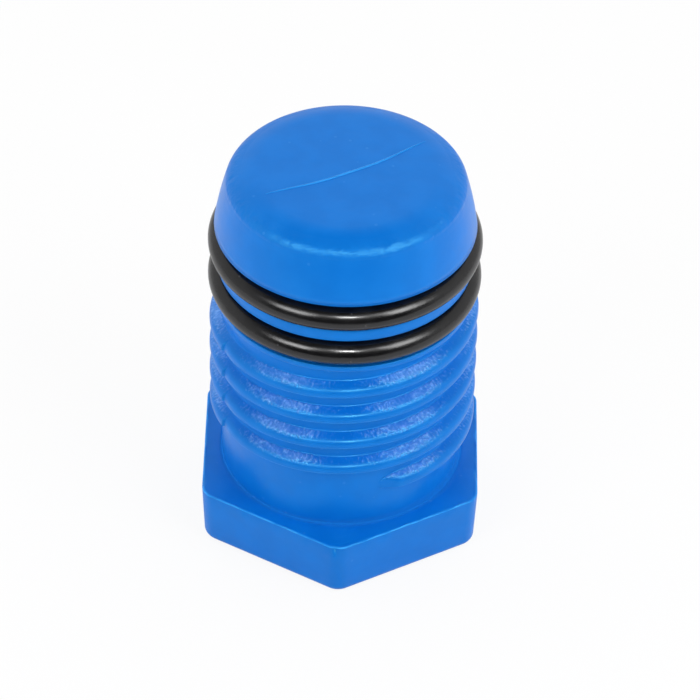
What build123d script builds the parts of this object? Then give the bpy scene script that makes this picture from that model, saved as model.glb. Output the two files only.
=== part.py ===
"""Pipe test plug: a one-piece moulded plastic plug with a hexagonal head, a coarse male thread and
a blunt nose, and two rubber O-rings that sit in grooves behind the nose.

Frame: millimetres. The plug stands on its head with its axis on +Z, and the origin is the centre of
the head's underside. Azimuths are degrees round the axis, counted from -Y towards +X.
"""
import os
from math import asin, cos, degrees, radians, sin, tan

from build123d import *

# Head
across_flats = 21.8
head_height = 5.0
head_draft = 2.5
head_corner_radius = 1.2
head_rim_radius = 0.7
neck_fillet = 1.0

# Thread, right-handed. Its root is as thick as the neck, and its lower flank is the steeper one.
thread_diameter = 20.955
thread_depth = 0.98
thread_pitch = 2.6
crest_width = 0.62
lower_flank = 0.25
upper_flank = 0.4
thread_start_above_head = 3.64
thread_end_below_lead = 1.05
thread_start_azimuth = 10.0
lower_runout = 80.0
upper_runout = 50.0
runout_margin = 0.02
runout_sunk = 0.1
ridge_sunk = 0.4

# Seal band: the lead above the thread, and two O-ring grooves with a land between them
neck_and_thread_length = 16.0
lead_radius = 10.0
lead_step = 0.2
lead_width = 0.45
groove_floor_radius = 8.53
groove_width = 2.5
land_width = 1.1
land_radius = 9.9
land_edge_radius = 0.15

# Nose: a drafted, slightly curved wall, a tight shoulder, a wider crown and a shallow dome
lip_radius = 10.1
wall_height = 3.85
wall_curve_radius = 30.0
wall_draft = 8.3
shoulder_radius = 1.2
crown_start = 58.0
crown_radius = 4.0
dome_start = 87.5

# O-rings
ring_section = 2.0
ring_seat_gap = 0.05
upper_ring_above_land = 0.03
lower_ring_above_lead = 0.26

# Hollow under the head
core_mouth_radius = 6.6
core_draft = 1.0
core_end_wall = 4.5
core_end_fillet = 2.0
core_mouth_chamfer = 0.4

# Radii of the thread
crest_radius = thread_diameter / 2
root_radius = crest_radius - thread_depth

# Length of the thread: its end lies under the lead, wherever that is
thread_rise = neck_and_thread_length - thread_start_above_head - thread_end_below_lead
thread_end = 360 * thread_rise / thread_pitch

# Heights along the body, from the head's underside
lead_base = head_height + neck_and_thread_length
lower_groove_base = lead_base + lead_step + lead_width
land_base = lower_groove_base + groove_width
upper_groove_base = land_base + land_width
lip_base = upper_groove_base + groove_width


def on_arc(centre, radius, angle):
    """The point of an arc round centre at an angle in degrees."""
    return (centre[0] + radius * cos(radians(angle)), centre[1] + radius * sin(radians(angle)))


def centre_from(point, radius, angle):
    """The centre of an arc that passes through a point at an angle in degrees."""
    return (point[0] - radius * cos(radians(angle)), point[1] - radius * sin(radians(angle)))


# Arcs of the nose's outline. Each starts where the one below it ends, at the same angle.
shoulder_start = degrees(asin(sin(radians(wall_draft)) + wall_height / wall_curve_radius))
wall_centre = centre_from((lip_radius, lip_base), wall_curve_radius, wall_draft)
wall_top = on_arc(wall_centre, wall_curve_radius, shoulder_start)
shoulder_centre = centre_from(wall_top, shoulder_radius, shoulder_start)
shoulder_top = on_arc(shoulder_centre, shoulder_radius, crown_start)
crown_centre = centre_from(shoulder_top, crown_radius, crown_start)
crown_top = on_arc(crown_centre, crown_radius, dome_start)
dome_radius = crown_top[0] / cos(radians(dome_start))
dome_centre = centre_from(crown_top, dome_radius, dome_start)
nose_top = dome_centre[1] + dome_radius


def ridge_profile(path):
    """The ridge's section at the start of a helix, with its foot sunk into the body."""
    start = path @ 0
    outwards = Vector(start.X, start.Y, 0)
    foot = 1 + ridge_sunk / thread_depth
    with BuildSketch(Plane(origin=start, x_dir=outwards, z_dir=-(path % 0))) as profile:
        with BuildLine():
            Polyline(
                (-thread_depth * foot, -lower_flank * foot),
                (0, 0),
                (0, crest_width),
                (-thread_depth * foot, crest_width + upper_flank * foot),
                close=True,
            )
        make_face()
    return profile.sketch


def ridge(first_angle, last_angle):
    """The thread's ridge between two angles, counted in degrees from the thread's start."""
    rise = thread_pitch / 360
    foot = (0, 0, head_height + thread_start_above_head + rise * first_angle)
    helix = Helix(thread_pitch, rise * (last_angle - first_angle), crest_radius, center=foot)
    path = helix.rotate(Axis.Z, thread_start_azimuth - 90 + first_angle)
    with BuildPart() as swept:
        sweep(ridge_profile(path), path=path, is_frenet=True)
    return swept.part


def runout(end_angle, full_angle):
    """The ridge between two angles, sinking evenly into the neck towards end_angle.

    An off-centre round trims it: the round is as wide as the crest where the ridge is full.
    """
    widest = crest_radius + runout_margin
    narrowing = cos(radians(full_angle - end_angle))
    trim_radius = (root_radius - runout_sunk - widest * narrowing) / (1 - narrowing)
    shift = widest - trim_radius
    azimuth = radians(thread_start_azimuth - 90 + full_angle)
    with BuildPart() as trimmed:
        with BuildSketch():
            with Locations((shift * cos(azimuth), shift * sin(azimuth))):
                Circle(trim_radius)
        extrude(amount=nose_top)
        add(ridge(*sorted((end_angle, full_angle))), mode=Mode.INTERSECT)
    return trimmed.part


# Hollow under the head, drafted and rounded at its blind end
core_depth = nose_top - core_end_wall
core_end_radius = core_mouth_radius - core_depth * tan(radians(core_draft))
with BuildPart() as core:
    with BuildSketch(Plane.XZ):
        with BuildLine():
            Polyline(
                (0, 0),
                (core_mouth_radius + core_mouth_chamfer, 0),
                (core_mouth_radius, core_mouth_chamfer),
                (core_end_radius, core_depth),
                (0, core_depth),
                close=True,
            )
        make_face()
        fillet(vertices().group_by(Axis.Y)[-1].sort_by(Axis.X)[-1], core_end_fillet)
    revolve(axis=Axis.Z)

# Seal band and nose, turned round the axis
with BuildPart() as nose:
    with BuildSketch(Plane.XZ):
        with BuildLine():
            Polyline(
                (0, lead_base - lead_step),
                (root_radius, lead_base - lead_step),
                (root_radius, lead_base),
                (lead_radius, lead_base + lead_step),
                (lead_radius, lower_groove_base),
                (groove_floor_radius, lower_groove_base),
                (groove_floor_radius, land_base),
                (land_radius, land_base),
                (land_radius, upper_groove_base),
                (groove_floor_radius, upper_groove_base),
                (groove_floor_radius, lip_base),
                (lip_radius, lip_base),
            )
            CenterArc(wall_centre, wall_curve_radius, wall_draft, shoulder_start - wall_draft)
            CenterArc(
                shoulder_centre, shoulder_radius, shoulder_start, crown_start - shoulder_start
            )
            CenterArc(crown_centre, crown_radius, crown_start, dome_start - crown_start)
            CenterArc(dome_centre, dome_radius, dome_start, 90 - dome_start)
            Line((0, nose_top), (0, lead_base - lead_step))
        make_face()
        fillet(vertices().filter_by(lambda v: v.X == land_radius), land_edge_radius)
    revolve(axis=Axis.Z)

# Hexagonal head, with corners towards -Y and +Y
with BuildPart() as head:
    with BuildSketch(Plane.XY.offset(head_height)):
        RegularPolygon(across_flats / 2, 6, major_radius=False, rotation=30)
    extrude(amount=-head_height, taper=head_draft)
    fillet(head.edges().group_by(Axis.Z)[1], head_corner_radius)
    fillet(head.faces().sort_by(Axis.Z)[0].edges(), head_rim_radius)

# The plug: neck and thread, then the head, the nose and the hollow
with BuildPart() as plug_body:
    with BuildSketch(Plane.XY.offset(head_height / 2)):
        Circle(root_radius)
    extrude(amount=lead_base - head_height / 2)
    add(ridge(lower_runout, thread_end - upper_runout))
    add(runout(0, lower_runout))
    add(runout(thread_end, thread_end - upper_runout))

    add(head.part)
    neck_foot = plug_body.edges().filter_by(GeomType.CIRCLE).filter_by_position(
        Axis.Z, head_height, head_height
    )
    fillet(neck_foot.sort_by(SortBy.RADIUS)[-1], neck_fillet)
    add(nose.part)
    add(core.part, mode=Mode.SUBTRACT)

plug_body.part.label = "plug_body"


def o_ring(height):
    """An O-ring round a groove's floor, with its centre at a height."""
    section_radius = ring_section / 2
    with BuildPart(Plane.XY.offset(height)) as ring:
        Torus(groove_floor_radius + ring_seat_gap + section_radius, section_radius)
    return ring.part


upper_o_ring = o_ring(upper_groove_base + upper_ring_above_land + ring_section / 2)
upper_o_ring.label = "upper_o_ring"
lower_o_ring = o_ring(lower_groove_base + lower_ring_above_lead + ring_section / 2)
lower_o_ring.label = "lower_o_ring"

os.makedirs("parts", exist_ok=True)
for piece in (plug_body.part, upper_o_ring, lower_o_ring):
    export_step(piece, "parts/" + piece.label + ".step")
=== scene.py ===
"""Dresses the pipe test plug: one blue moulding with its thread, and two black O-rings.

Lengths are millimetres until a mesh is made. The plug's axis is Z. Azimuths are counted round it from
-Y towards +X.
"""

from math import asin, cos, radians, sin, tan

import bpy
import numpy as np
from mathutils import Matrix, Vector


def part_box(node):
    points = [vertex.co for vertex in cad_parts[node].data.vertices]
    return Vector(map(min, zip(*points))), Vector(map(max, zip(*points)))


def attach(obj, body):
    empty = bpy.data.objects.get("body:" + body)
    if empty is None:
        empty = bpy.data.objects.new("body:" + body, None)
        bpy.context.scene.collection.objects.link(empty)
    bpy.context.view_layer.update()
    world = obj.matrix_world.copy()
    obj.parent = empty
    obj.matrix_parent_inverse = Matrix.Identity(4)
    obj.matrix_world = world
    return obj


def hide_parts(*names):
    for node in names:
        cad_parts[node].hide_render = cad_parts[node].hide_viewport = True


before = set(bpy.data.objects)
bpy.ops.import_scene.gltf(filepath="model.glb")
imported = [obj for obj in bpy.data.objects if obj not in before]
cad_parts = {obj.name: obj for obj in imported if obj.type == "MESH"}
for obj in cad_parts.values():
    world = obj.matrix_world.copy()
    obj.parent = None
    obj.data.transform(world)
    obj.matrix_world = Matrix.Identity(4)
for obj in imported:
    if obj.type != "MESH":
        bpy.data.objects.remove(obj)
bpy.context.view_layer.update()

MM = 0.001
FULL_TURN = 2 * np.pi
QUARTER_TURN = FULL_TURN / 4

# Sizes that the frame gives
body_low, body_high = (np.array(corner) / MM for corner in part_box("plug_body"))
across_flats = body_high[0] - body_low[0]
nose_top = body_high[2]

# Head
flats = 6
half_sector = FULL_TURN / flats / 2
head_height = 5.0
head_draft = radians(2.5)
head_corner_radius = 1.5
head_rim_radius = 0.7
head_edge_radius = 0.08
neck_fillet = 0.15

# The head's upper edge: (waves round the head, share, phase), and a nick at the front corner
edge_wave = 0.03
edge_waves = ((13, 1, 1), (29, 1, 0), (47, 0.7, 2))
edge_nick_azimuth = radians(-1)
edge_nick_reach = radians(1.3)
edge_nick_depth = 0.11

# Thread
crest_radius = 10.4775
thread_depth = 0.98
root_radius = crest_radius - thread_depth
thread_pitch = 2.6
crest_width = 0.62
lower_flank = 0.25
upper_flank = 0.4
root_margin = 0.2
thread_start_height = 8.64
thread_start_azimuth = radians(10)
thread_end = 4.35 * FULL_TURN
lower_runout = radians(80)
upper_runout = radians(50)
runout_margin = 0.02
runout_sunk = 0.1
spare_turns = 2

# Lower end of the thread: a hair ridge that grows into a blunt tongue
start_swelling = 0.18
hair_share = 0.12
hair_width_share = 0.3
hair_end = radians(9)
blunt_end = radians(18)

# Easing of the thread's corners (foot, crest's lower edge, crest's upper edge, foot), as a length and
# as the most of its shorter side
thread_easing = (0.16, 0.05, 0.42, 0.16)
thread_easing_shares = (0.3, 0.3, 0.68, 0.3)

# Mould halves: the crest of the front half is lower beside the parting plane
parting_azimuth = radians(-63)
parting_dip = 0.2
parting_dip_reach = radians(20)

# Seal band
lead_base = 21.0
lead_step = 0.2
lead_foot = 0.12
lead_foot_easing = 0.06
lead_easing = 0.1
lead_width = 0.45
lead_radius = 10.0
groove_floor_radius = 8.53
groove_width = 2.5
land_width = 1.1
land_radius = 9.9
band_easing = 0.15
lower_groove = lead_base + lead_step + lead_width
land_base = lower_groove + groove_width
upper_groove = land_base + land_width
lip_base = upper_groove + groove_width

# Nose
lip_radius = 10.1
lip_chamfer_width = 0.1
lip_chamfer_height = 0.03
wall_height = 3.85
wall_curve_radius = 30.0
wall_draft = radians(8.3)
shoulder_radius = 1.2
crown_start = radians(58)
crown_radius = 4.0
dome_start = radians(87.5)
dome_share = 0.4

# Hair ridge left by the mould across the dome
witness_start = (-6.2, -3.2)
witness_end = (6.05, 3.8)
witness_bow = -0.77
witness_wobble = 0.03
witness_wobbles = 5
witness_width = 0.2
witness_height = 0.085
witness_bluntness = 0.3
# The hair ridge is painted pale as a highlight.
witness_highlight = 0.8

# Hollow under the head
core_mouth_radius = 6.6
core_draft = radians(1)
core_end_wall = 4.5
core_end_fillet = 2.0
core_mouth_chamfer = 0.4
core_mouth_easing = 0.1

# Mesh. An eased corner takes no more than widest_easing of its shorter side.
columns = 360
crowding = 0.7
widest_easing = 0.45
corner_rows = 5
arc_rows = 9
edge_rows = 6
wall_rows = 8
band_corner_rows = 4
underside_shares = (0.35, 0.7, 0.9)
side_shares = (0.25, 0.5, 0.75)
upper_face_shares = (0.06, 0.15, 0.5, 0.85)
witness_rows = 121
bead_columns = 17
ring_columns = 289
ring_rows = 49
coincident_digits = 5

# Marks that the materials read, and the rows between which three of them start, are full and end.
# The scuffs' rows and the crest's painted highlight rows count the rows of one pitch, where corner n has
# 5 n - 4 to 5 n, and rippled_rows counts from the top of the nose's wall. The edge mark paints a
# highlight line, and the dull mark paints shade into the neck's crease.
mark_names = ("scuffed", "edge", "rippled", "dull")
scuffed_rows = (12, 15, 16, 19)
crest_highlight_rows = (6, 7, 9, 10)
rippled_rows = (-2, 1, 7, 10)
scuffed_ridge = 0.3
crest_highlight_ridge = 0.1
# Painted highlight: the scuffs' pale colour peaks in lobes round the thread, where the softboxes glint.
glint_places = 6
glint_azimuth = radians(32)
least_glint = 0.25

# Blue plastic
plastic_sizes = {"Grain Size": 0.12, "Cloud Size": 2.2, "Speck Spacing": 1.6}
deep_blue = (0, 0.147, 0.6, 1)
light_blue = (0, 0.162, 0.64, 1)
# Painted highlight over real scuffs: the scuffs' pale colour.
scuff_and_glint_blue = (0.2, 0.43, 0.93, 1)
# Painted highlight: the pale line on the head's upper edge, the crest's lower edge and the hair ridge.
edge_highlight_blue = (0.04, 0.38, 0.95, 1)
speck_blue = (0.1, 0.35, 0.8, 1)
# Painted shade: a darker blue in the crease at the neck's foot.
crease_shade_blue = (0, 0.08, 0.42, 1)
plastic_specular_tint = (0.22, 0.92, 1, 1)
plastic_speck_share = 0.15
crease_shade_share = 0.2
plastic_roughness = (0.3, 0.37)
ripple_roughness = 0.06
crease_roughness = 0.6
plastic_grain_depth = 0.004
plastic_cloud_depth = 0.03
ripple_scale = 1.1
ripple_depth = 0.12

# Scuffing of the plastic: fine slanted strokes in uneven patches, as bumps. Their pale colour is painted
# highlight, strongest where the softboxes glint. A noise is mapped from the first two numbers to the last
# two, or to 0 and 1.
stroke_slant = radians(15)
stroke_scale = (4.8, 2.2, 1.0)
stroke_depth = 0.09
stroke_weight = 0.9
bright_strokes = (0.45, 0.7)
bright_paleness = 0.5
least_paleness = 0.45
scuff_and_glint_threshold = (0.7, 1.45)
patch_scale = 0.45
patches_in_scuff_and_glint = (0.38, 0.58, 0.35, 1.0)
patches_in_edge_highlight = (0.4, 0.6, 0.4, 0.8)

# Black rubber
rubber_sizes = {"Grain Size": 0.15, "Cloud Size": 1.5, "Speck Spacing": 1.1}
deep_black = (0.002, 0.002, 0.0025, 1)
soft_black = (0.005, 0.005, 0.006, 1)
speck_grey = (0.12, 0.12, 0.13, 1)
rubber_speck_share = 0.3
rubber_roughness = (0.22, 0.265)
rubber_grain_depth = 0.004
rubber_cloud_depth = 0.02

# Both materials
cloud_middle = (0.3, 0.7)
speck_rim = (0.05, 0.1)

# Camera, as fitted to the plug's outline in the photograph
camera_elevation = radians(40.81)
camera_roll = radians(1.319)
camera_distance = 344.7
camera_aside = 0.551
camera_above = -0.136
camera_target_height = 15.0
focal_px = 4388.0
image_px = 700.0
sensor_width = 36.0
view_start_m = 0.01
view_end_m = 10

# Studio. The room's strength goes from the third number to the fourth as its formula goes from the
# first to the second.
lamp_target = (0, 0, 16)
room_back_share = 0.6
room_side_share = 0.5
room_light = (-0.9, 0.1, 0.1, 1.5)
mirrored_side_share = 0.8
mirrored_height_share = 0.5
room_mirrored = (-0.1, 0.5, 0.02, 0.72)
floor_width = 1200
floor_front = 80
floor_gap = 0.02
floor_grey = (0.9, 0.9, 0.9, 1)
floor_roughness = 0.9
floor_glow = 0.9


def azimuth_grid():
    """Azimuths of the grid's columns over one turn from the parting plane, crowded at the six corners.

    An even angle e becomes e - crowding * sin(6 e) / 6, which is slowest where a corner lies. All are
    shifted so that the first stays on the parting plane.
    """
    even = np.linspace(parting_azimuth, parting_azimuth + FULL_TURN, columns + 1)
    return even - crowding * (np.sin(flats * even) - np.sin(flats * parting_azimuth)) / flats


def eased(corners, reach, steps=corner_rows, side_share=widest_easing):
    """Rows along a path through corners, where each inner corner is a parabola.

    corners and the result hold (row, radius or height, ...). A parabola starts and ends at its reach from
    the corner, or at its share of the shorter side where that is less. It is
    (1 - t)^2 * first + 2 t (1 - t) * corner + t^2 * last.
    """
    shares = np.broadcast_to(side_share, len(reach))
    shortest = 1e-9
    rows = [corners[0]]
    t = np.linspace(0, 1, steps).reshape(-1, *[1] * (corners[0].ndim))
    for before, corner, after, far, share in zip(corners, corners[1:], corners[2:], reach, shares):
        back, ahead = before - corner, after - corner
        back_length = np.maximum(np.sqrt((back ** 2).sum(0)), shortest)
        ahead_length = np.maximum(np.sqrt((ahead ** 2).sum(0)), shortest)
        cut = np.minimum(far, share * np.minimum(back_length, ahead_length))
        first = corner + back / back_length * cut
        last = corner + ahead / ahead_length * cut
        rows.extend((1 - t) ** 2 * first + 2 * t * (1 - t) * corner + t ** 2 * last)
    rows.append(corners[-1])
    return np.array(rows)


def turned(points, azimuth):
    """Rows of a round profile: each (radius, height) point is repeated for all columns."""
    points = np.asarray(points, dtype=float)
    return np.repeat(points[:, :, None], len(azimuth), axis=2)


def marked(rows, **given):
    """Rows of (radius, height) with their marks added.

    A mark is one value, a column of one value for each row, or one value for each row and column. A mark
    that isn't given is 0.
    """
    marks = np.zeros((len(rows), len(mark_names), rows.shape[2]))
    for column, name in enumerate(mark_names):
        marks[:, column] = given.get(name, 0)
    return np.concatenate((rows, marks), axis=1)


def ramped(row_number, bounds):
    """A mark that rises from 0 to 1 between the first two bounds and falls between the last two."""
    return np.interp(row_number, bounds, (0, 1, 1, 0))


def arc(centre, radius, first, last, steps):
    """Points (radius, height) on an arc round centre, from one angle to another."""
    angle = np.linspace(first, last, steps)
    return np.stack((centre[0] + radius * np.cos(angle), centre[1] + radius * np.sin(angle)), axis=1)


def hexagon(azimuth, apothem, corner_radius):
    """Distance from the axis to a hexagon with round corners, one of them at azimuth 0.

    On a flat it is apothem / cos(angle from the flat's middle). In a corner it is the far side of the
    corner's circle: with the circle's centre c from the axis, c cos(a) + sqrt(radius^2 - c^2 sin(a)^2)
    at the angle a from the corner.
    """
    from_corner = np.abs((azimuth + half_sector) % (2 * half_sector) - half_sector)
    centre = (apothem - corner_radius) / cos(half_sector)
    flat = apothem / np.cos(half_sector - from_corner)
    half_chord = np.sqrt(np.maximum(corner_radius ** 2 - (centre * np.sin(from_corner)) ** 2, 0))
    corner = centre * np.cos(from_corner) + half_chord
    tangent_angle = np.arctan2(
        corner_radius * sin(half_sector), centre + corner_radius * cos(half_sector)
    )
    return np.where(from_corner < tangent_angle, corner, flat)


def hollow_rows(azimuth):
    """The hollow's profile, from the middle of its blind end down to the head's underside."""
    depth = nose_top - core_end_wall
    end_radius = core_mouth_radius - depth * tan(core_draft)
    path = np.array(
        [
            (0, depth),
            (end_radius, depth),
            (core_mouth_radius, core_mouth_chamfer),
            (core_mouth_radius + core_mouth_chamfer, 0),
        ]
    )
    return marked(turned(eased(path, (core_end_fillet, core_mouth_easing), arc_rows), azimuth))


def head_outline(azimuth, inset, height):
    """The drafted head's hexagon at a height, inset on all sides."""
    drafted = across_flats / 2 - (head_height - height) * tan(head_draft)
    return hexagon(azimuth, drafted - inset, head_corner_radius - inset)


def head_rows(azimuth):
    """The head: underside, round rim, drafted sides, crisp upper edge and upper face.

    Each row is a hexagon. Round the rim and the edge it is inset by radius * (1 - cos(angle)), for the
    angle from the sides. The upper edge waves by a sum of sines, and at one corner it has a nick of
    depth * exp(-(azimuth from the nick / reach)^2).
    """
    level = np.zeros_like(azimuth)
    mouth = core_mouth_radius + core_mouth_chamfer
    underside_edge = head_outline(azimuth, head_rim_radius, 0)
    sides = [(mouth + (underside_edge - mouth) * share, level) for share in underside_shares]
    for angle in np.linspace(0, QUARTER_TURN, arc_rows):
        height = head_rim_radius * (1 - cos(angle))
        sides.append((head_outline(azimuth, head_rim_radius * (1 - sin(angle)), height), level + height))
    for share in side_shares:
        height = head_rim_radius + (head_height - head_edge_radius - head_rim_radius) * share
        sides.append((head_outline(azimuth, 0, height), level + height))

    wave = edge_wave * sum(share * np.sin(count * azimuth + phase) for count, share, phase in edge_waves)
    nick = edge_nick_depth * np.exp(-((azimuth - edge_nick_azimuth) / edge_nick_reach) ** 2)
    edge_angles = np.linspace(0, QUARTER_TURN, edge_rows)
    edge = []
    for angle in edge_angles:
        height = head_height - head_edge_radius * (1 - sin(angle))
        radius = head_outline(azimuth, head_edge_radius * (1 - cos(angle)), height)
        edge.append((radius - nick, height + (wave - nick) * sin(angle)))

    rim = edge[-1][0]
    foot = root_radius + neck_fillet
    face = [(rim + (foot - rim) * share, level + head_height) for share in upper_face_shares]
    fillet_centre = (foot, head_height + neck_fillet)
    fillet = arc(fillet_centre, neck_fillet, -QUARTER_TURN, -2 * QUARTER_TURN, arc_rows)
    return np.concatenate(
        (
            marked(np.array(sides)),
            # The edge mark on the upper edge's rows paints a highlight line.
            marked(np.array(edge), edge=np.sign(edge_angles)[:, None]),
            marked(np.array(face)),
            # The neck's fillet is rougher, and is painted darker as shade.
            marked(turned(fillet, azimuth), dull=1),
        )
    )


def trimmed_radius(from_full, reach):
    """Radius of the off-centre round that trims the ridge, at an angle from where it is still full.

    For a round of radius t whose centre lies c away from the axis, at the angle a from the centre's
    direction it is c cos(a) + sqrt(t^2 - c^2 sin(a)^2). At the angle reach it has sunk into the root.
    """
    widest = crest_radius + runout_margin
    trim = (root_radius - runout_sunk - widest * cos(reach)) / (1 - cos(reach))
    shift = widest - trim
    angle = np.clip(from_full, 0, reach)
    return shift * np.cos(angle) + np.sqrt(trim ** 2 - (shift * np.sin(angle)) ** 2)


def grown_start(along):
    """How far the ridge has grown from a hair ridge into its blunt start, from 0 to 1."""
    return np.clip((along - hair_end) / (blunt_end - hair_end), 0, 1)


def ridge_height(along, azimuth):
    """Height of the ridge over the root, for an angle along the thread and an azimuth.

    Two rounds trim its ends, and beside the parting plane the front half's crest dips by
    parting_dip * (1 - angle / parting_dip_reach)^2. In the lower run-out, the share of the full height
    that is left becomes share^start_swelling. Up to hair_end only hair_share of that stands, and from
    there to blunt_end the rest comes in as 3 s^2 - 2 s^3.
    """
    lower = trimmed_radius(lower_runout - along, lower_runout)
    upper = trimmed_radius(along - (thread_end - upper_runout), upper_runout)
    radius = np.minimum(crest_radius, np.minimum(lower, upper))
    from_parting = (azimuth - parting_azimuth) % FULL_TURN
    nearest = np.minimum(from_parting, FULL_TURN / 2 - from_parting)
    dip = parting_dip * np.clip(1 - nearest / parting_dip_reach, 0, 1) ** 2
    radius = radius - np.where(from_parting <= FULL_TURN / 2, dip, 0)
    share = np.clip((radius - root_radius) / thread_depth, 0, 1)
    grown = grown_start(along)
    started = hair_share + (1 - hair_share) * grown ** 2 * (3 - 2 * grown)
    share = np.where(along < lower_runout, started * share ** start_swelling, share)
    return np.where((along > 0) & (along < thread_end), share * thread_depth, 0)


def ridge_width(along):
    """Share of the ridge's full width, measured from its lower edge, for an angle along the thread.

    Up to hair_end it is a hair ridge. From there to blunt_end the rest comes in as
    sqrt(1 - (1 - s)^2), the outline of a round tongue.
    """
    return hair_width_share + (1 - hair_width_share) * np.sqrt(1 - (1 - grown_start(along)) ** 2)


def thread_rows(azimuth):
    """The neck and thread as rows that climb one pitch per turn, so that they follow the ridge's edges.

    Row by row, one pitch is: foot, lower flank, crest, upper flank, root. Its corners move along the
    flanks as the ridge sinks in its run-outs. Heights are clipped to the neck's foot and the lead.
    """
    low, high = head_height + neck_fillet, lead_base - lead_foot
    last_turn = int((high - thread_start_height) / thread_pitch) + spare_turns
    turn = np.arange(-spare_turns, last_turn)
    along = azimuth[None, :] - thread_start_azimuth + FULL_TURN * turn[:, None]
    crest_line = thread_start_height + thread_pitch * along / FULL_TURN
    ridge = ridge_height(along, azimuth[None, :])
    width = ridge_width(along)
    sunk = 1 - ridge / thread_depth
    zero = np.zeros_like(along)
    root_start = (zero, zero - lower_flank - root_margin)
    foot_low = (zero, zero - lower_flank)
    edge_low = (ridge, -lower_flank * sunk)
    edge_high = (ridge, width * (crest_width + upper_flank * sunk))
    foot_high = (zero, width * (crest_width + upper_flank))
    root_end = (zero, zero + thread_pitch - lower_flank - root_margin)
    corners = np.array([root_start, foot_low, edge_low, edge_high, foot_high, root_end])
    rows = eased(corners, thread_easing, side_share=thread_easing_shares)[:-1]

    radius = root_radius + rows[:, 0]
    unclipped = crest_line + rows[:, 1]
    height = np.clip(unclipped, low, high)
    shown = unclipped == height
    row_number = np.arange(len(rows))[:, None, None]
    # Painted highlight: the scuffs are paler in lobes round the thread, where the softboxes glint.
    glint_lobes = (1 + np.cos(glint_places * (azimuth - glint_azimuth))) / 2
    scuff_with_glints = least_glint + (1 - least_glint) * glint_lobes
    scuffed = shown * scuff_with_glints * np.clip(ridge / scuffed_ridge, 0, 1) * ramped(row_number, scuffed_rows)
    # Painted highlight: a pale line along the crest's lower edge.
    edge = shown * np.clip(ridge / crest_highlight_ridge, 0, 1) * ramped(row_number, crest_highlight_rows)

    def climbing(values):
        """Values by (row, turn, column) put in the order of the climb, by (row, column)."""
        return values.transpose(1, 0, 2).reshape(-1, len(azimuth))

    climb = np.stack((climbing(radius), climbing(height)), axis=1)
    return marked(climb, scuffed=climbing(scuffed), edge=climbing(edge))


def seal_band_rows(azimuth):
    """The lead, the two grooves with their land, and the underside of the nose's lip."""
    band = np.array(
        [
            (root_radius, lead_base - lead_foot),
            (root_radius, lead_base),
            (lead_radius, lead_base + lead_step),
            (lead_radius, lower_groove),
            (groove_floor_radius, lower_groove),
            (groove_floor_radius, land_base),
            (land_radius, land_base),
            (land_radius, upper_groove),
            (groove_floor_radius, upper_groove),
            (groove_floor_radius, lip_base),
            (lip_radius - lip_chamfer_width, lip_base),
        ]
    )
    reach = (lead_foot_easing, lead_easing, lead_easing, *[band_easing] * 6)
    return marked(turned(eased(band, reach, band_corner_rows), azimuth))


def nose_rows(azimuth):
    """The nose's wall, shoulder, crown and dome as tangent arcs, up to the middle.

    The dome's arc is flattened: its rise is dome_share of the full one.
    """
    shoulder_start = asin(sin(wall_draft) + wall_height / wall_curve_radius)
    wall_centre = np.array((lip_radius, lip_base)) - wall_curve_radius * np.array(
        (cos(wall_draft), sin(wall_draft))
    )
    wall = arc(wall_centre, wall_curve_radius, wall_draft, shoulder_start, wall_rows)
    outwards = np.array((cos(shoulder_start), sin(shoulder_start)))
    shoulder_centre = wall[-1] - shoulder_radius * outwards
    shoulder = arc(shoulder_centre, shoulder_radius, shoulder_start, crown_start, arc_rows)
    outwards = np.array((cos(crown_start), sin(crown_start)))
    crown_centre = shoulder[-1] - crown_radius * outwards
    crown = arc(crown_centre, crown_radius, crown_start, dome_start, arc_rows)
    dome_radius = crown[-1, 0] / cos(dome_start)
    dome_centre = (0, crown[-1, 1] - dome_radius * sin(dome_start))
    dome = arc(dome_centre, dome_radius, dome_start, QUARTER_TURN, arc_rows)
    dome[-1, 0] = 0
    dome[:, 1] = dome[0, 1] + (dome[:, 1] - dome[0, 1]) * dome_share
    wall[0, 1] += lip_chamfer_height
    profile = np.concatenate((wall, shoulder[1:], crown[1:], dome[1:]))
    rippled = ramped(np.arange(len(profile)) - len(wall), rippled_rows)
    return marked(turned(profile, azimuth), rippled=rippled[:, None])


def round_the_axis(rows, azimuth):
    """Points and marks of a surface that goes round the axis.

    rows holds (radius, height, marks) for the columns. A point is
    (radius * sin(azimuth), -radius * cos(azimuth), height). The marks are two lengths that the pattern
    follows, round the crest and along the profile as height - radius, and the given ones.
    """
    radius, height, *given = rows.transpose(1, 0, 2)
    points = np.stack((radius * np.sin(azimuth), -radius * np.cos(azimuth), height), axis=2)
    along = np.broadcast_to(azimuth * crest_radius, radius.shape)
    return points, np.stack((along, height - radius, *given), axis=2)


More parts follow.
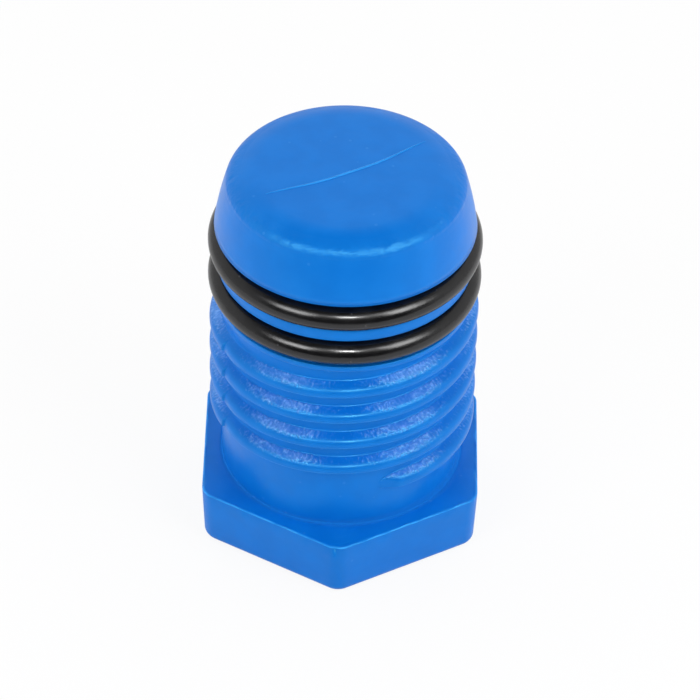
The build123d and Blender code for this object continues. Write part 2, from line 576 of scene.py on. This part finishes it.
def closed_mesh(name, surfaces):
    """A mesh from closed grids of points, in triangles.

    Points that coincide are welded, and of each cell's two triangles only those with three different
    points are kept. The marks become a UV map and an attribute each.
    """
    points = np.concatenate([grid.reshape(-1, 3) for grid, marks in surfaces])
    marks = np.concatenate([marks.reshape(-1, marks.shape[2]) for grid, marks in surfaces])
    triangles = []
    start = 0
    for grid, _ in surfaces:
        index = start + np.arange(grid[..., 0].size).reshape(grid.shape[:2])
        near, far = index[:-1, :-1], index[:-1, 1:]
        above_near, above_far = index[1:, :-1], index[1:, 1:]
        triangles.append(np.stack((near, far, above_far), axis=2).reshape(-1, 3))
        triangles.append(np.stack((near, above_far, above_near), axis=2).reshape(-1, 3))
        start += index.size
    triangles = np.concatenate(triangles)
    rounded = np.round(points, coincident_digits)
    _, first, welded = np.unique(rounded, axis=0, return_index=True, return_inverse=True)
    corners = welded.reshape(-1)[triangles]
    distinct = (
        (corners[:, 0] != corners[:, 1])
        & (corners[:, 1] != corners[:, 2])
        & (corners[:, 2] != corners[:, 0])
    )
    mesh = bpy.data.meshes.new(name)
    mesh.from_pydata(points[first] * MM, [], corners[distinct])
    mesh.update()
    mesh.polygons.foreach_set("use_smooth", np.ones(len(mesh.polygons), dtype=bool))
    pattern = mesh.uv_layers.new(name="around_and_along")
    pattern.uv.foreach_set("vector", marks[triangles[distinct], :2].ravel())
    for column, mark_name in enumerate(mark_names, start=2):
        values = mesh.attributes.new(mark_name, "FLOAT", "POINT")
        values.data.foreach_set("value", marks[first, column])
    return mesh


def witness_ridge(nose):
    """The mould's hair ridge across the dome, a low closed bead half sunk in the surface.

    Its middle runs from one end to the other with a bow of witness_bow * sin(pi * way) and a slight
    wobble. Across it the bead is an ellipse whose size follows sin(pi * way)^witness_bluntness, so that
    both ends close in a point.
    """
    way = np.linspace(0, 1, witness_rows)[:, None]
    round_bead = np.linspace(0, FULL_TURN, bead_columns)[None, :]
    start, end = np.array(witness_start), np.array(witness_end)
    forward = (end - start) / np.linalg.norm(end - start)
    aside = np.array((-forward[1], forward[0]))
    size = np.sin(np.pi * way).clip(0, 1) ** witness_bluntness
    size[[0, -1]] = 0
    wobble = witness_wobble * np.sin(witness_wobbles * np.pi * way)
    bow = witness_bow * np.sin(np.pi * way) + wobble
    middle = start + (end - start) * way + aside * bow
    across = size * witness_width / 2 * np.cos(round_bead)
    x, y = (middle[:, [axis]] + aside[axis] * across for axis in (0, 1))
    radius, height = nose[::-1, :2, 0].T
    ground = np.interp(np.linalg.norm(middle, axis=1), radius, height)[:, None]
    z = ground + size * witness_height * np.sin(round_bead)
    marks = np.zeros((*z.shape, 2 + len(mark_names)))
    # Painted highlight: the bead is painted pale.
    marks[..., 2 + mark_names.index("edge")] = size * witness_highlight
    return np.stack((x, y, z), axis=2), marks


def place(mesh, material, nodes):
    """Makes the mesh a piece that rides on the part's one body and stands for some of its nodes."""
    piece = bpy.data.objects.new(mesh.name, mesh)
    bpy.context.scene.collection.objects.link(piece)
    mesh.materials.append(material)
    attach(piece, "root")
    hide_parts(*nodes)


def node(tree, kind, inputs, **settings):
    """A new shader node. An input given as another node's output is linked, and any other is set."""
    made = tree.nodes.new("ShaderNode" + kind)
    for name, value in settings.items():
        setattr(made, name, value)
    for name, value in inputs.items():
        if isinstance(value, bpy.types.NodeSocket):
            tree.links.new(value, made.inputs[name])
        else:
            made.inputs[name].default_value = value
    return made


def calculate(tree, operation, *values):
    """The output of a Math node."""
    return node(tree, "Math", dict(enumerate(values)), operation=operation).outputs[0]


def blend(tree, share, first, second):
    """The output of a Mix node between two numbers."""
    return node(tree, "Mix", {0: share, "A": first, "B": second}).outputs[0]


def blend_colours(tree, share, first, second):
    """The output of a Mix node between two colours."""
    return node(tree, "Mix", {0: share, 6: first, 7: second}, data_type="RGBA").outputs[2]


def between(tree, value, low, high, lowest=0.0, highest=1.0):
    """A value mapped smoothly from low-high to lowest-highest, and held there beyond."""
    inputs = {"Value": value, "From Min": low, "From Max": high, "To Min": lowest, "To Max": highest}
    return node(tree, "MapRange", inputs, interpolation_type="SMOOTHSTEP").outputs["Result"]


def mark_of(tree, name):
    """A mark of the mesh, as the material reads it."""
    return node(tree, "Attribute", {}, attribute_name=name).outputs["Fac"]


def moulded_surface():
    """A shader group with the fine marks that every moulded surface has.

    Position is in metres and the sizes are in millimetres. Grain is fine even noise, Cloud is slow
    unevenness, and Specks are a few small spots.
    """
    group = bpy.data.node_groups.new("moulded_surface", "ShaderNodeTree")
    group.interface.new_socket("Position", in_out="INPUT", socket_type="NodeSocketVector")
    size_names = ("Grain Size", "Cloud Size", "Speck Spacing")
    for name in size_names:
        group.interface.new_socket(name, in_out="INPUT", socket_type="NodeSocketFloat")
    for name in ("Grain", "Cloud", "Specks"):
        group.interface.new_socket(name, in_out="OUTPUT", socket_type="NodeSocketFloat")
    given = group.nodes.new("NodeGroupInput").outputs
    result = group.nodes.new("NodeGroupOutput").inputs
    position = given["Position"]
    scales = [calculate(group, "DIVIDE", 1 / MM, given[name]) for name in size_names]
    grain = node(group, "TexNoise", {"Vector": position, "Scale": scales[0], "Detail": 3.0})
    cloud = node(group, "TexNoise", {"Vector": position, "Scale": scales[1], "Detail": 2.0})
    spots = node(group, "TexVoronoi", {"Vector": position, "Scale": scales[2]})
    group.links.new(grain.outputs[0], result["Grain"])
    group.links.new(cloud.outputs[0], result["Cloud"])
    group.links.new(between(group, spots.outputs["Distance"], *speck_rim, 1.0, 0.0), result["Specks"])
    return group


def new_material(name, surface, sizes):
    """A new material, its tree, its shader's inputs, the position in it, and its moulded marks."""
    material = bpy.data.materials.new(name)
    material.use_nodes = True
    tree = material.node_tree
    shader = tree.nodes["Principled BSDF"].inputs
    position = tree.nodes.new("ShaderNodeTexCoord").outputs["Object"]
    marks = node(tree, "Group", {"Position": position, **sizes}, node_tree=surface).outputs
    return material, tree, shader, position, marks


def plastic(surface):
    """Satin blue plastic, scuffed in fine strokes across the thread's upper flanks.

    The scuffs' pale colour is painted highlight where the softboxes glint, the edge mark paints a
    highlight line, and the dull mark paints shade into the crease at the neck's foot.
    """
    material, tree, shader, position, marks = new_material("blue_plastic", surface, plastic_sizes)
    grain, cloud, specks = marks
    pattern = node(tree, "UVMap", {}, uv_map="around_and_along").outputs[0]
    turning = {"Vector": pattern, "Rotation": (0, 0, stroke_slant), "Scale": stroke_scale}
    slanted = node(tree, "Mapping", turning).outputs[0]
    strokes = node(tree, "TexNoise", {"Vector": slanted, "Scale": 1.0, "Detail": 2.0}).outputs[0]
    patch_noise = {"Vector": pattern, "Scale": patch_scale, "Detail": 3.0, "Roughness": 0.7}
    patches = node(tree, "TexNoise", patch_noise).outputs[0]

    jagged = calculate(tree, "MULTIPLY_ADD", strokes, stroke_weight, mark_of(tree, "scuffed"))
    patchy = between(tree, patches, *patches_in_scuff_and_glint)
    scuff = calculate(tree, "MULTIPLY", between(tree, jagged, *scuff_and_glint_threshold), patchy)
    bright = between(tree, strokes, *bright_strokes)
    paleness = calculate(tree, "MULTIPLY_ADD", bright, bright_paleness, least_paleness)
    # Pale scuff colour: the strokes are real scuffs, and the paleness is painted highlight where the
    # softboxes glint.
    scuff_and_glint_share = calculate(tree, "MULTIPLY", scuff, paleness)
    edge_highlight_patches = between(tree, patches, *patches_in_edge_highlight)
    # Painted highlight: a pale line on the edges, in patches.
    edge_highlight_share = calculate(tree, "MULTIPLY", mark_of(tree, "edge"), edge_highlight_patches)
    speck_share = calculate(tree, "MULTIPLY", specks, plastic_speck_share)
    dull = mark_of(tree, "dull")
    # Painted shade: the neck's crease is darker.
    dull_share = calculate(tree, "MULTIPLY", dull, crease_shade_share)

    blue = blend_colours(tree, between(tree, cloud, *cloud_middle), deep_blue, light_blue)
    blue = blend_colours(tree, scuff_and_glint_share, blue, scuff_and_glint_blue)
    blue = blend_colours(tree, edge_highlight_share, blue, edge_highlight_blue)
    blue = blend_colours(tree, speck_share, blue, speck_blue)
    blue = blend_colours(tree, dull_share, blue, crease_shade_blue)
    tree.links.new(blue, shader["Base Color"])

    rippled = mark_of(tree, "rippled")
    roughness = between(tree, cloud, *cloud_middle, *plastic_roughness)
    roughness = calculate(tree, "MULTIPLY_ADD", rippled, ripple_roughness, roughness)
    roughness = calculate(tree, "MULTIPLY_ADD", dull, crease_roughness, roughness)
    tree.links.new(roughness, shader["Roughness"])
    shader["Specular Tint"].default_value = plastic_specular_tint

    ripples = node(tree, "TexNoise", {"Vector": position, "Scale": ripple_scale / MM}).outputs[0]
    height = calculate(tree, "MULTIPLY", grain, plastic_grain_depth)
    height = calculate(tree, "MULTIPLY_ADD", cloud, plastic_cloud_depth, height)
    stroke_height = calculate(tree, "MULTIPLY", strokes, scuff)
    height = calculate(tree, "MULTIPLY_ADD", stroke_height, stroke_depth, height)
    ripple_height = calculate(tree, "MULTIPLY", ripples, rippled)
    height = calculate(tree, "MULTIPLY_ADD", ripple_height, ripple_depth, height)
    bump = node(tree, "Bump", {"Height": height, "Distance": MM})
    tree.links.new(bump.outputs[0], shader["Normal"])
    return material


def rubber(surface):
    """Black rubber with a soft gloss and a little dust."""
    material, tree, shader, _, marks = new_material("black_rubber", surface, rubber_sizes)
    grain, cloud, specks = marks
    black = blend_colours(tree, between(tree, cloud, *cloud_middle), deep_black, soft_black)
    speck_share = calculate(tree, "MULTIPLY", specks, rubber_speck_share)
    black = blend_colours(tree, speck_share, black, speck_grey)
    tree.links.new(black, shader["Base Color"])
    tree.links.new(between(tree, cloud, *cloud_middle, *rubber_roughness), shader["Roughness"])
    height = calculate(tree, "MULTIPLY", grain, rubber_grain_depth)
    height = calculate(tree, "MULTIPLY_ADD", cloud, rubber_cloud_depth, height)
    bump = node(tree, "Bump", {"Height": height, "Distance": MM})
    tree.links.new(bump.outputs[0], shader["Normal"])
    return material


def body_piece(surface):
    """The moulding as one closed surface, with the hair ridge on its dome."""
    azimuth = azimuth_grid()
    nose = nose_rows(azimuth)
    parts = (hollow_rows, head_rows, thread_rows, seal_band_rows)
    rows = np.concatenate((*[part(azimuth) for part in parts], nose))
    surfaces = [round_the_axis(rows, azimuth), witness_ridge(nose)]
    place(closed_mesh("plug_moulding", surfaces), plastic(surface), ["plug_body"])


def ring_piece(name, node_name, material):
    """An O-ring: a circle of the node's section carried round the axis."""
    low, high = (np.array(corner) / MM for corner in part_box(node_name))
    section = (high[2] - low[2]) / 2
    centre = (high[0] - section, (low[2] + high[2]) / 2)
    azimuth = np.linspace(0, FULL_TURN, ring_columns)
    rows = marked(turned(arc(centre, section, 0, FULL_TURN, ring_rows), azimuth))
    mesh = closed_mesh(name, [round_the_axis(rows, azimuth)])
    place(mesh, material, [node_name])


def camera():
    """The camera that the photograph was taken with, as a pinhole with a little roll."""
    forward = np.array((0, cos(camera_elevation), -sin(camera_elevation)))
    right = np.array((1.0, 0, 0))
    up = np.cross(right, forward)
    right_rolled = cos(camera_roll) * right + sin(camera_roll) * up
    up_rolled = -sin(camera_roll) * right + cos(camera_roll) * up
    target = camera_aside * right + camera_above * up + np.array((0, 0, camera_target_height))
    position = (target - forward * camera_distance) * MM
    lens = bpy.data.cameras.new("camera")
    lens.sensor_width = sensor_width
    lens.lens = sensor_width * focal_px / image_px
    lens.clip_start = view_start_m
    lens.clip_end = view_end_m
    viewer = bpy.data.objects.new("camera", lens)
    bpy.context.scene.collection.objects.link(viewer)
    rotation = Matrix((right_rolled, up_rolled, -forward)).transposed()
    viewer.matrix_world = Matrix.Translation(position) @ rotation.to_4x4()
    bpy.context.scene.camera = viewer


def softbox(name, place_mm, size_mm, power, gloss_only=False):
    """An area lamp that points at the middle of the plug.

    With gloss_only it shows as a highlight and sheds no other light.
    """
    light = bpy.data.lights.new(name, "AREA")
    light.shape = "RECTANGLE"
    light.size, light.size_y = size_mm[0] * MM, size_mm[1] * MM
    light.energy = power
    lamp = bpy.data.objects.new(name, light)
    lamp.visible_diffuse = not gloss_only
    bpy.context.scene.collection.objects.link(lamp)
    place_m, target_m = Vector(place_mm) * MM, Vector(lamp_target) * MM
    turn = (target_m - place_m).to_track_quat("-Z", "Y")
    lamp.matrix_world = Matrix.LocRotScale(place_m, turn, None)


def surroundings():
    """A white room that is bright low down and behind the plug, and dim above it.

    For a direction (x, y, z), its strength follows room_back_share * y + room_side_share * |x| - z. What
    gloss mirrors follows y + mirrored_side_share * |x| - mirrored_height_share * z, so that it is white
    behind and beside the plug. The camera sees plain white.
    """
    world = bpy.data.worlds.new("white_studio")
    bpy.context.scene.world = world
    world.use_nodes = True
    tree = world.node_tree
    direction = tree.nodes.new("ShaderNodeTexCoord").outputs["Generated"]
    x, y, z = node(tree, "SeparateXYZ", {0: direction}).outputs
    rays = tree.nodes.new("ShaderNodeLightPath").outputs
    side = calculate(tree, "ABSOLUTE", x)
    lit = calculate(tree, "MULTIPLY_ADD", y, room_back_share, calculate(tree, "MULTIPLY", z, -1.0))
    lit = calculate(tree, "MULTIPLY_ADD", side, room_side_share, lit)
    beside = calculate(tree, "MULTIPLY_ADD", side, mirrored_side_share, y)
    beside = calculate(tree, "MULTIPLY_ADD", z, -mirrored_height_share, beside)
    mirrored = between(tree, beside, *room_mirrored)
    strength = blend(tree, rays["Is Glossy Ray"], between(tree, lit, *room_light), mirrored)
    for ray in ("Is Transmission Ray", "Is Camera Ray"):
        strength = blend(tree, rays[ray], strength, 1.0)
    background = tree.nodes["Background"].inputs
    tree.links.new(strength, background["Strength"])
    background["Color"].default_value = (1, 1, 1, 1)


def paper_floor():
    """A pale floor that shows white, with the plug's shadow still on it."""
    half, front = floor_width / 2, -floor_front
    corners = np.array([(-half, front), (half, front), (half, half), (-half, half)])
    corners = np.column_stack((corners, np.full(len(corners), -floor_gap)))
    mesh = bpy.data.meshes.new("floor")
    mesh.from_pydata(corners * MM, [], [(0, 1, 2, 3)])
    paper = bpy.data.materials.new("paper")
    paper.use_nodes = True
    tree = paper.node_tree
    matt = tree.nodes["Principled BSDF"]
    matt.inputs["Base Color"].default_value = floor_grey
    matt.inputs["Roughness"].default_value = floor_roughness
    glow = node(tree, "Emission", {"Strength": 1.0}).outputs[0]
    rays = tree.nodes.new("ShaderNodeLightPath").outputs
    share = calculate(tree, "MULTIPLY", rays["Is Camera Ray"], floor_glow)
    shown = node(tree, "MixShader", {0: share, 1: matt.outputs[0], 2: glow}).outputs[0]
    tree.links.new(shown, tree.nodes["Material Output"].inputs["Surface"])
    mesh.materials.append(paper)
    floor = bpy.data.objects.new("floor", mesh)
    bpy.context.scene.collection.objects.link(floor)


def studio():
    """The surroundings, the floor, two softboxes over the plug, and three lamps for its highlights."""
    surroundings()
    paper_floor()
    softbox("left_softbox", place_mm=(-181, -200, 225), size_mm=(170, 150), power=0.34)
    softbox("right_softbox", place_mm=(205, -155, 235), size_mm=(180, 200), power=0.46)
    softbox("left_glare", place_mm=(-170, -205, 205), size_mm=(120, 105), power=0.32, gloss_only=True)
    softbox("right_glare", place_mm=(190, -160, 215), size_mm=(120, 120), power=0.34, gloss_only=True)
    softbox("front_glare", place_mm=(20, -260, 265), size_mm=(30, 14), power=0.7, gloss_only=True)
    bpy.context.scene.view_settings.view_transform = "Standard"


surface_marks = moulded_surface()
body_piece(surface_marks)
ring_rubber = rubber(surface_marks)
ring_piece("upper_ring", "upper_o_ring", ring_rubber)
ring_piece("lower_ring", "lower_o_ring", ring_rubber)
camera()
studio()
